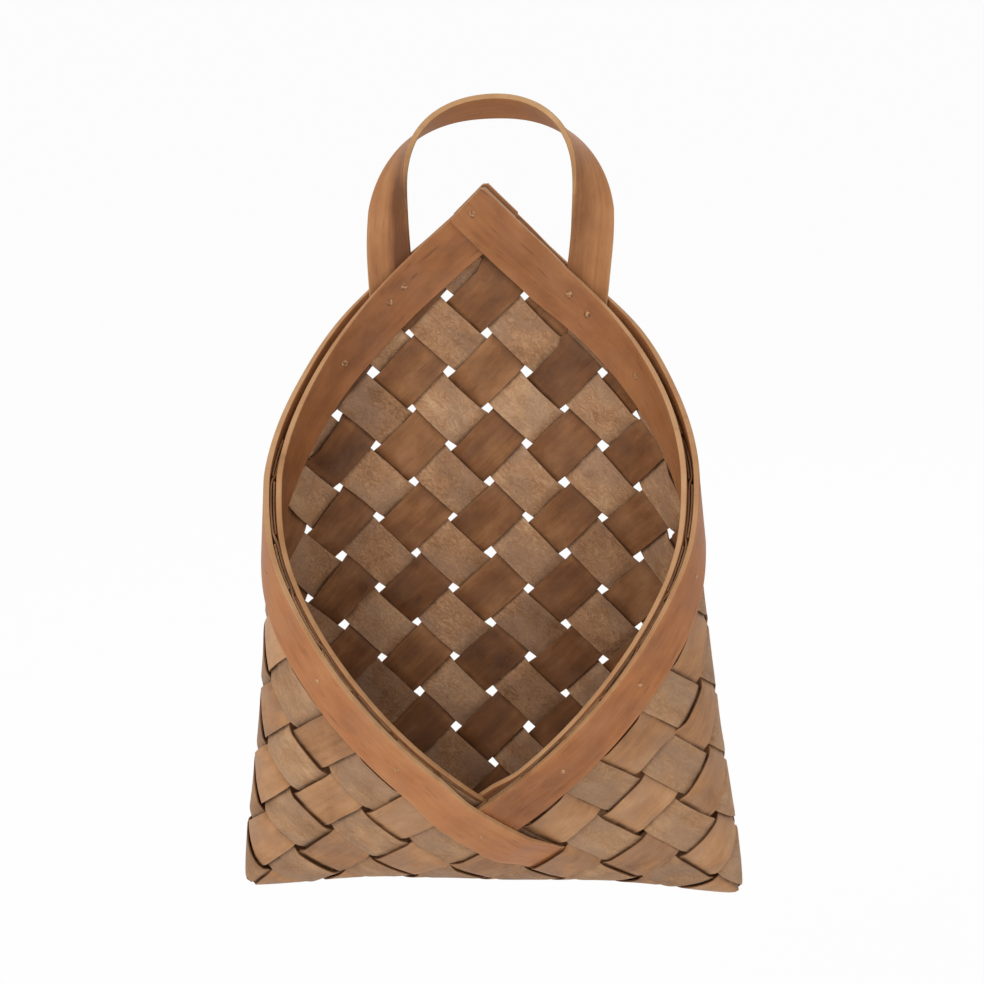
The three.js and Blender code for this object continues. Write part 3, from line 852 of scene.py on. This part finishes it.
@dataclass
class Rim:
    """The four bands along the mouth, how they cross, and the room they leave for the handle."""

    wall: BagWall
    width: float = 0.022
    thickness: float = 0.0028
    edge_round: float = 0.0006
    seat: float = 0.00145
    seat_gap: float = 0.0003
    tip_overhang: float = 0.0013
    tip_cell: float = 1.0
    front_cell: float = 13.0
    tail_cell: float = 15.0
    tail_tuck: float = 0.005
    tail_tip: float = 0.0009
    tail_seat: float = 0.00005
    lift_left: Pair = (0.0037, 0.9)
    lift_right: Pair = (0.0048, 2.2)
    lift_end: float = 8.0
    half_gap: float = 0.0686
    leg_spacing: float = 0.0929
    leg_shift: float = 0.0022
    leg_width: float = 0.020
    leg_thickness: float = 0.0016
    bulge_slack: float = 0.0004
    bulge_margin: float = 0.005
    bulge_ramp: float = 0.032
    bulge_end: float = 7.0
    rows: int = 200
    columns: int = 14
    corner: float = 0.0018
    edge_wander: float = 0.0004
    wander_run: float = 0.5
    edge_wear: float = 0.1
    wear_power: int = 6
    crossing_shade: float = 0.12
    shade_range: Pair = (11.0, 14.0)
    tone_spread: float = 0.08
    tone_run: float = 0.45
    tone_draw: float = 3.0
    seeds: Triple = (41.0, 3.3, 1.1)
    seed_across: float = 0.3
    # Tone shifts of the bands, left then right; the left inner band's darker tone is painted shade,
    # as it faces away from the key lamp.
    inner_tones_and_shade: Pair = (-0.075, 0.03)
    tones_outer: Pair = (0.03, -0.06)
    face: Wood = Wood(
        "band_face", (126, 74, 40), (172, 110, 65), (194, 137, 89), rough=0.54,
        weather=0.15, nicks=0.5, relief=0.00003,
    )
    inside: Wood = Wood(
        "band_inside", (104, 62, 34), (152, 97, 57), (176, 121, 78), rough=0.56, coat=0.03,
        weather=0.15, nicks=0.5, relief=0.00003,
    )
    edge: Wood = Wood("band_edge", (130, 86, 52), (172, 126, 84), (198, 156, 114), rough=0.62)

    def __post_init__(self) -> None:
        """Works out the steps where bands cross and makes the finishes."""
        self.step = self.thickness + self.seat_gap
        self.leg_place = self.leg_spacing / 2.0 / self.wall.diamond
        self.leg_middle = self.leg_shift / self.wall.diamond
        face, inside, edge = self.face.build(), self.inside.build(), self.edge.build()
        self.finishes = {Layer.OUTER: [face, inside, edge], Layer.INNER: [inside, face, edge]}

    def _through(self, along: Array, cell: float) -> Array:
        """Eases from 0 to 1 through one cell of the plaiting."""
        return smooth(along, cell + self.half_gap, cell + 1.0 - self.half_gap)

    def laps(self, along: Array) -> Arrays:
        """Gives 1 where a band crosses the other, at the tip and on the front, else 0."""
        tip = 1.0 - self._through(along, self.tip_cell)
        return tip, self._through(along, self.front_cell)

    def raised(self, family: Family, along: Array) -> Array:
        """Gives how far a band stands up from the edge of the plaiting.

        Args:
            family: Direction of the band.
            along: Pitches along it.

        Returns:
            Distance in pitches.
        """
        lift, start = self.lift_left if family.left else self.lift_right
        share = np.clip((along - start) / (self.lift_end - start), 0.0, 1.0)
        return lift / self.wall.pitch * np.sin(np.pi * share)

    def bulge(self, family: Family, across: Array, along: Array) -> Array:
        """Gives how far an outer band stands off for the handle's leg under it.

        Args:
            family: Direction of the band.
            across: Pitches square to the band.
            along: Pitches along it.

        Returns:
            Distance outwards.
        """
        right = self.wall.strip(family, across, along)[0]
        away = np.abs(np.abs(right - self.leg_middle) - self.leg_place) * self.wall.diamond
        start = self.leg_width / 2.0 + self.bulge_margin
        most = self.leg_thickness + self.seat_gap + self.bulge_slack
        near = along < self.bulge_end
        return most * near * (1.0 - smooth(away, start, start + self.bulge_ramp))

    def _seat_of(self, family: Family, layer: Layer, across: Array, along: Array) -> Array:
        """Finds where the middle of a band lies off the wall.

        Args:
            family: Direction of the band.
            layer: Inside or outside of the plaiting.
            across: Pitches square to the band.
            along: Pitches along it.

        Returns:
            Distance outwards from the middle of the plaiting to the middle of the band.
        """
        half = self.thickness / 2.0
        tip, front = self.laps(along)
        if layer is Layer.INNER:
            lap = 0.0 if family.left else np.maximum(tip, front)
            return -(self.seat + half + self.step * lap) * np.ones_like(along)
        bulge = self.bulge(family, across, along)
        if not family.left:
            return self.seat + half + bulge + self.step * tip
        past = self._through(along, self.tail_cell)
        end = self.tail_cell + 1.0
        low = self.seat + bulge + self.step * front * (1.0 - past)
        low = low + (self.tail_seat - low) * smooth(along, end - self.half_gap, end + self.half_gap)
        return low + (self.thickness + (self.tail_tip - self.thickness) * past) / 2.0

    def _band(self, family: Family, layer: Layer) -> Piece:
        """Makes one band.

        Args:
            family: Direction of the band.
            layer: Inside or outside of the plaiting.

        Returns:
            The finished band.
        """
        pitch = self.wall.pitch
        outer = layer is Layer.OUTER
        first, last = self.half_gap, self.tail_cell - self.half_gap
        tucked = outer and family.left
        if tucked:
            first -= self.tip_overhang / pitch
            last = self.tail_cell + 1.0 + self.tail_tuck / pitch
        half = self.width / 2.0
        # Tone shift of this band; for the left inner band it is painted shade.
        own_tone = (self.tones_outer if outer else self.inner_tones_and_shade)[not family.left]
        own, by_family, by_layer = self.seeds
        seed = own + by_family * family.value + by_layer * layer.value

        def shape(across: Array, along: Array) -> Course:
            """Lays the band along the mouth.

            Args:
                across: Shares of the width.
                along: Shares of the length.

            Returns:
                The course of the band.
            """
            edge = 2.0 * across - 1.0
            past = np.maximum(np.abs(edge) * half - half + self.corner, 0.0)
            inset = (self.corner - np.sqrt(self.corner**2 - past**2)) / pitch
            place = first + inset + along * (last - first - 2.0 * inset)
            wander = self.edge_wander * drift(place * self.wander_run, seed, edge)
            wide = MIDDLE + (edge * half + wander) / pitch - self.raised(family, place)
            offset = self._seat_of(family, layer, wide, place)
            points, normals = self.wall.place(*self.wall.strip(family, wide, place), offset)
            across_grain = edge * half + seed * self.seed_across
            grain = np.stack([place * pitch + seed, across_grain], axis=1)
            tone = self.tone_spread * drift(place * self.tone_run, seed, self.tone_draw)
            tone = MIDDLE + own_tone + tone
            tone = tone + self.edge_wear * edge**self.wear_power
            if outer and not family.left:
                tone = tone - self.crossing_shade * smooth(place, *self.shade_range)
            return Course(points, normals * layer.value, grain, tone)

        def thinning(along: Array) -> Array:
            """Thins the tail that is tucked under a splint."""
            past = self._through(first + along * (last - first), self.tail_cell)
            return 1.0 + (self.tail_tip / self.thickness - 1.0) * past

        name = f"{layer.name.lower()}_rim_{family.side}"
        stock = (self.columns, self.thickness, self.finishes[layer], self.edge_round)
        return Ribbon(name, self.rows, *stock, thinning if tucked else None).lay(shape)

    def build(self) -> None:
        """Makes the four bands."""
        for layer in Layer:
            for family in Family:
                node = f"{layer.name.lower()}_band_{family.side}"
                settle(self._band(family, layer), node)


@dataclass
class Handle:
    """One ribbon of bent wood: two legs behind the plaiting and a twisted arch over the tip."""

    rim: Rim
    width: float = 0.020
    thickness: float = 0.0028
    edge_round: float = 0.0007
    leg_rise: float = 0.004
    toes: Pair = (0.023, 0.034)
    slants: Pair = (0.03, 0.11)
    arch_rise: float = 0.0318
    arch_setback: float = 0.0066
    arch_shift: float = 0.0066
    arch_tilt: float = 0.6
    fullness: float = 0.69
    twist_ease: float = 1.88
    leg_rows: int = 36
    arch_rows: int = 90
    columns: int = 14
    ease_rows: int = 12
    ease_passes: int = 50
    held_legs: float = 0.9
    held_arch: float = 0.5
    length: float = 0.3
    grain_start: Pair = (61.0, 7.0)
    tone_spread: float = 0.06
    tone_draw: Triple = (14.0, 2.0, 3.0)
    edge_wear: float = 0.08
    wear_power: int = 6
    twist_shades: Pair = (0.34, 0.12)
    twist_shade_across: Pair = (0.45, 0.7)
    twist_shade_end_left: Pair = (0.2, 0.36)
    twist_shade_start_right: Pair = (0.62, 0.74)
    face: Wood = Wood(
        "handle_face", (108, 66, 38), (164, 111, 69), (194, 144, 100), rough=0.56, coat=0.03,
        streaks=0.26, fibres=0.08, blotches=0.3, relief=0.00003,
    )
    back: Wood = Wood(
        "handle_back", (108, 64, 32), (158, 100, 54), (184, 128, 80), rough=0.62, coat=0.0,
        streaks=0.24, fibres=0.08, blotches=0.3, relief=0.00003,
    )
    edge: Wood = Wood("handle_edge", (132, 88, 54), (176, 132, 88), (200, 160, 116), rough=0.6)

    def crown(self) -> Array:
        """Gives the middle of the arch's top before the basket's origin is set."""
        tip = self.rim.wall.place(np.zeros(1), np.zeros(1), np.zeros(1))[0][0]
        return tip + np.array([self.arch_shift, self.arch_setback, self.arch_rise])

    def hanging_point(self) -> Vector:
        """Gives the middle of the arch's underside, where a hook carries it."""
        face = np.array([0.0, math.sin(self.arch_tilt), math.cos(self.arch_tilt)])
        return Vector(self.crown() - face * self.thickness / 2.0)

    def _leg_top(self) -> float:
        """Gives where the legs pass into the arch, in diamonds below the tip of the mouth."""
        return self.rim.leg_place - (self.width / 2.0 + self.leg_rise) / self.rim.wall.diamond

    def _leg(self, side: int, width: Array, down: Array) -> Arrays:
        """Finds places on a leg.

        Args:
            side: -1 on the left, 1 on the right.
            width: Distance from the leg's middle towards the basket's middle.
            down: Diamonds below the tip of the mouth.

        Returns:
            Points and the directions that the leg's face looks in.
        """
        rim, slant = self.rim, self.slants[side > 0]
        middle = rim.leg_place - slant * (down - self._leg_top())
        reach = width / rim.wall.diamond
        right = rim.leg_middle + side * (middle - reach)
        offset = np.full_like(right, rim.seat + rim.leg_thickness / 2.0)
        points, normals = rim.wall.place(right, down - slant * reach, offset)
        return points, -normals

    def _arch(self, side: int, width: Array, share: Array) -> Arrays:
        """Finds places on half the arch.

        Args:
            side: -1 on the left, 1 on the right.
            width: Distance from the ribbon's middle.
            share: Share of the way from the leg to the top.

        Returns:
            Points and the directions that the ribbon's face looks in.
        """
        foot, look = self._leg(side, np.zeros(1), np.array([self._leg_top()]))
        start, look, top = foot[0], look[0], self.crown()
        rise = self.fullness * (top[2] - start[2])
        knots = [
            start,
            start + rise * np.array([side * self.slants[side > 0], 0.0, 1.0]),
            top + np.array([self.fullness * (start[0] - top[0]), 0.0, 0.0]),
            top,
        ]
        t = share[:, None]
        weights = ((1 - t) ** 3, 3 * t * (1 - t) ** 2, 3 * t**2 * (1 - t), t**3)
        middle = sum(w * k for w, k in zip(weights, knots))
        legs = [b - a for a, b in zip(knots, knots[1:])]
        run = (1 - t) ** 2 * legs[0] + 2 * t * (1 - t) * legs[1] + t**2 * legs[2]
        run = -side * unit(run)
        ahead = np.array([[0.0, -1.0, 0.0]])
        front = unit(ahead - run * np.sum(run * ahead, axis=1, keepdims=True))
        outward = np.cross(front, run)
        at_foot = int(np.argmin(share))
        begin = math.atan2(float(look @ front[at_foot]), float(look @ outward[at_foot]))
        ease = 1.0 - (1.0 - share) ** self.twist_ease
        turn = (begin + (-self.arch_tilt - begin) * ease)[:, None]
        face = np.cos(turn) * outward + np.sin(turn) * front
        return middle + np.cross(run, face) * width[:, None], face

    def _eased(self, points: Array, across: Array, row: Array) -> Array:
        """Eases the ribbon's bends where its legs pass into the arch.

        Args:
            points: Places on the ribbon.
            across: Share of the width at each place.
            row: Number of the row that each place is in.

        Returns:
            The places with those bends eased.
        """
        order = np.lexsort((across, np.round(row)))
        rows = points[order].reshape(-1, self.columns + 1, 3)
        for joint in (self.leg_rows, len(rows) - 1 - self.leg_rows):
            first, last = joint - self.ease_rows, joint + self.ease_rows
            for _ in range(self.ease_passes):
                beside = rows[first - 1 : last - 1] + rows[first + 1 : last + 1]
                rows[first:last] = rows[first:last] / 2.0 + beside / 4.0
        eased = np.empty_like(points)
        eased[order] = rows.reshape(-1, 3)
        return eased

    def build(self) -> None:
        """Makes the handle from the left toe over the arch to the right toe."""
        finishes = [self.face.build(), self.back.build(), self.edge.build()]
        rim = self.rim
        legs, arch = self.leg_rows, self.arch_rows
        rows = 2 * (legs + arch)
        top_down = self._leg_top()

        def shape(across: Array, along: Array) -> Course:
            """Lays the ribbon along its path.

            Args:
                across: Shares of the width.
                along: Shares of the length.

            Returns:
                The course of the ribbon.
            """
            row = along * rows
            width = (across - MIDDLE) * self.width
            points, faces = np.zeros((2, len(row), 3))
            for side, toe in zip((-1, 1), self.toes):
                place = row if side < 0 else rows - row
                on_leg = place <= legs
                below_top = place <= legs + arch if side < 0 else place < legs + arch
                on_arch = ~on_leg & below_top
                low = rim.leg_place + toe / rim.wall.diamond
                down = low + (top_down - low) * place[on_leg] / legs
                points[on_leg], faces[on_leg] = self._leg(side, width[on_leg], down)
                share = np.append((place[on_arch] - legs) / arch, 0.0)
                made, look = self._arch(side, np.append(width[on_arch], 0.0), share)
                points[on_arch], faces[on_arch] = made[:-1], look[:-1]
            points = self._eased(points, across, row)
            grain = np.stack([along * self.length, width], axis=1) + self.grain_start
            run, y, z = self.tone_draw
            tone = MIDDLE + self.tone_spread * drift(along * self.length * run, y, z)
            tone = tone + self.edge_wear * (2.0 * across - 1.0) ** self.wear_power
            # Painted shade: a darker stripe down part of each leg's width, for the twisted ribbon
            # turning away from the light.
            left, right = self.twist_shades
            dark = left * (1.0 - smooth(along, *self.twist_shade_end_left))
            dark = dark + right * smooth(along, *self.twist_shade_start_right)
            return Course(points, faces, grain, tone - dark * smooth(across, *self.twist_shade_across))

        def thinning(along: Array) -> Array:
            """Thins the legs where the bands hold them.

            Args:
                along: Shares of the length.

            Returns:
                Shares of the thickness.
            """
            row = np.minimum(along, 1.0 - along) * rows
            held = 1.0 - smooth(row, self.held_legs * legs, legs + self.held_arch * arch)
            return 1.0 + (rim.leg_thickness / self.thickness - 1.0) * held

        stock = (self.columns, self.thickness, finishes, self.edge_round)
        piece = Ribbon("bent_handle", rows, *stock, thinning).lay(shape)
        settle(piece, "handle")


@dataclass
class Nails:
    """Small nails that clench bands, plaiting and the handle's legs together."""

    rim: Rim
    shank_radius: float = 0.0008
    head_radius: float = 0.0016
    small_radius: float = 0.0011
    head_height: float = 0.0004
    head_sink: float = 0.00005
    tip_cover: float = 0.0004
    point_profile: tuple[Pair, ...] = ((0.5, 0.0006), (1.0, 0.0016))
    head_profile: tuple[Pair, ...] = (
        (1.0, 0.0), (1.0, 0.35), (0.8, 0.78), (0.42, 0.96), (0.0, 1.0),
    )
    steps: int = 14
    merge: float = 1e-7
    tip_nail: Pair = (0.28, 0.55)
    front_nail: Pair = (0.5, 14.5)
    inside_left: tuple[Pair, ...] = ((0.4, 2.4), (0.4, 2.8), (0.5, 4.2))
    inside_right: tuple[Pair, ...] = ((0.4, 2.55), (0.45, 3.05), (0.5, 4.5))
    outside: tuple[Pair, ...] = ((0.5, 8.5), (0.5, 10.5), (0.5, 12.5))
    inside_metal: NailMetal = NailMetal("nail_metal", (182, 134, 90), (112, 73, 43))
    outside_metal: NailMetal = NailMetal("nail_metal_outside", (206, 158, 112), (150, 103, 64))

    def _nail(
        self, name: str, family: Family, spot: Pair, inside: bool, metal: Finish
    ) -> Piece:
        """Makes one nail.

        Args:
            name: Name of the piece.
            family: Direction of the band that it is in.
            spot: Place across and along the band, in pitches.
            inside: Whether the head is inside the basket.
            metal: Material of the nail.

        Returns:
            The finished nail.
        """
        rim = self.rim
        along = np.array([spot[1]])
        across = np.array([spot[0]]) - rim.raised(family, along)
        points, normals = rim.wall.place(*rim.wall.strip(family, across, along), np.zeros(1))
        step = rim.step * np.maximum(*rim.laps(along))[0]
        inner = rim.seat + rim.thickness + step
        outer = inner + rim.bulge(family, across, along)[0]
        head, far = (inner, outer) if inside else (outer, inner)
        head_radius = self.head_radius if inside else self.small_radius
        base, tip = head - self.head_sink, self.tip_cover - far
        profile = [(0.0, tip)]
        profile += [(self.shank_radius * share, tip + rise) for share, rise in self.point_profile]
        profile += [(self.shank_radius, base)]
        for share, rise in self.head_profile:
            profile += [(head_radius * share, base + self.head_height * rise)]
        solid = bmesh.new()
        verts = [solid.verts.new((radius, 0.0, height)) for radius, height in profile]
        edges = [solid.edges.new(pair) for pair in zip(verts, verts[1:])]
        upright = Vector((0.0, 0.0, 1.0))
        bmesh.ops.spin(
            solid,
            geom=verts + edges,
            cent=(0.0, 0.0, 0.0),
            axis=upright,
            angle=math.tau,
            steps=self.steps,
            use_merge=True,
        )
        bmesh.ops.remove_doubles(solid, verts=solid.verts[:], dist=self.merge)
        bmesh.ops.recalc_face_normals(solid, faces=solid.faces[:])
        axis = Vector(normals[0]) * (-1.0 if inside else 1.0)
        turn = upright.rotation_difference(axis).to_matrix().to_4x4()
        stand = Matrix.Translation(Vector(points[0])) @ turn
        bmesh.ops.transform(solid, matrix=stand, verts=solid.verts[:])
        for face in solid.faces:
            face.smooth = True
        return add_mesh(name, solid, metal)

    def build(self) -> None:
        """Makes all the nails."""
        metals = {True: self.inside_metal.build(), False: self.outside_metal.build()}
        wanted = [
            ("tip", Family.RISING, self.tip_nail, True),
            ("front", Family.RISING, self.front_nail, False),
        ]
        for family, inside in zip(Family, (self.inside_left, self.inside_right)):
            spots = [(spot, True) for spot in inside] + [(spot, False) for spot in self.outside]
            for number, (spot, within) in enumerate(spots, start=1):
                wanted.append((f"{family.side}_{number}", family, spot, within))
        for name, family, spot, within in wanted:
            piece = self._nail(f"rim_nail_{name}", family, spot, within, metals[within])
            settle(piece, f"nail_{name}")


@dataclass
class Studio:
    """Plain pale floor, soft light from the upper left and the camera of the photograph."""

    target: Vector = field(default_factory=lambda: Vector((-0.0053, -0.00583, -0.180424)))
    distance: float = 0.960
    azimuth: float = 4.19
    elevation: float = 17.74
    roll: float = -1.05
    lens_pixels: float = 2009.0
    image_pixels: float = 984.0
    sensor: float = 36.0
    floor_height: float = -0.62
    floor_size: float = 60.0
    floor_glow: float = 0.94
    floor_paint: Triple = (0.9, 0.9, 0.9)
    sky: float = 0.62
    lamps: tuple[tuple[str, Triple, float, float], ...] = (
        ("key", (-0.95, -1.35, 1.0), 1.1, 14.5),
        ("fill", (0.75, -1.6, 0.45), 1.5, 6.0),
        ("back", (0.5, 1.2, 1.0), 1.4, 8.0),
    )

    def _camera(self) -> None:
        """Sets the camera where the photograph was taken from."""
        az, el, roll = (math.radians(v) for v in (self.azimuth, self.elevation, self.roll))
        flat = math.cos(el)
        back = Vector((math.sin(az) * flat, -math.cos(az) * flat, math.sin(el)))
        right = Vector((math.cos(az), math.sin(az), 0.0))
        level = right * math.cos(roll) + back.cross(right) * math.sin(roll)
        turn = Matrix((level, back.cross(level), back)).transposed().to_4x4()
        data = bpy.data.cameras.new("camera")
        data.sensor_width = self.sensor
        data.lens = self.lens_pixels / self.image_pixels * self.sensor
        data.dof.use_dof = False
        camera = add_object("camera", data)
        camera.matrix_world = Matrix.Translation(self.target + back * self.distance) @ turn
        bpy.context.scene.camera = camera

    def _lamps(self) -> None:
        """Hangs the soft lamps round the basket."""
        for name, place, size, power in self.lamps:
            data = bpy.data.lights.new(name, "AREA")
            data.shape = "DISK"
            data.size = size
            data.energy = power
            lamp = add_object(name, data)
            lamp.location = Vector(place)
            aim = self.target - lamp.location
            lamp.rotation_euler = aim.to_track_quat("-Z", "Y").to_euler()

    @staticmethod
    def _seen(graph: Graph) -> Value:
        """Tells rays from the camera, a gloss or a clear body from the others.

        Args:
            graph: Node tree to add to.

        Returns:
            1 for those rays, else 0.
        """
        kinds = ("Is Camera Ray", "Is Glossy Ray", "Is Transmission Ray")
        rays = [graph.node("ShaderNodeLightPath", None, None, kind) for kind in kinds]
        return rays[0].maths("MAXIMUM", rays[0].maths("MAXIMUM", rays[0], rays[1]), rays[2])

    def _world(self) -> None:
        """Makes a white background and an even sky."""
        bpy.context.scene.world = bpy.data.worlds.new("studio")
        graph = Graph(bpy.context.scene.world)
        strength = self._seen(graph) * (1.0 - self.sky) + self.sky
        inputs = {"Color": WHITE, "Strength": strength}
        graph.surface(graph.node("ShaderNodeBackground", None, inputs))

    def _floor(self) -> None:
        """Lays a white floor below the hanging basket."""
        graph = Graph(bpy.data.materials.new("floor_white"))
        paint = graph.node("ShaderNodeBsdfDiffuse", None, {"Color": self.floor_paint})
        glow = graph.node("ShaderNodeEmission", None, {"Color": WHITE, "Strength": 1.0})
        share = self._seen(graph) * self.floor_glow
        graph.surface(graph.node("ShaderNodeMixShader", None, {0: share, 1: paint, 2: glow}))
        shell = bmesh.new()
        bmesh.ops.create_grid(shell, x_segments=1, y_segments=1, size=self.floor_size / 2.0)
        bmesh.ops.translate(shell, verts=shell.verts[:], vec=(0.0, 0.0, self.floor_height))
        add_mesh("floor", shell, graph.owner)

    def build(self) -> None:
        """Makes camera, light and floor."""
        bpy.context.scene.view_settings.view_transform = "Standard"
        self._camera()
        self._lamps()
        self._world()
        self._floor()


def main() -> None:
    """Builds the basket and the studio."""
    logging.basicConfig(level=logging.INFO, format="%(name)s: %(message)s")
    Studio().build()
    wall = BagWall()
    rim = Rim(wall)
    handle = Handle(rim)
    wall.origin = handle.hanging_point()
    Plaiting(wall).build()
    rim.build()
    handle.build()
    Nails(rim).build()


if __name__ == "__main__":
    main()
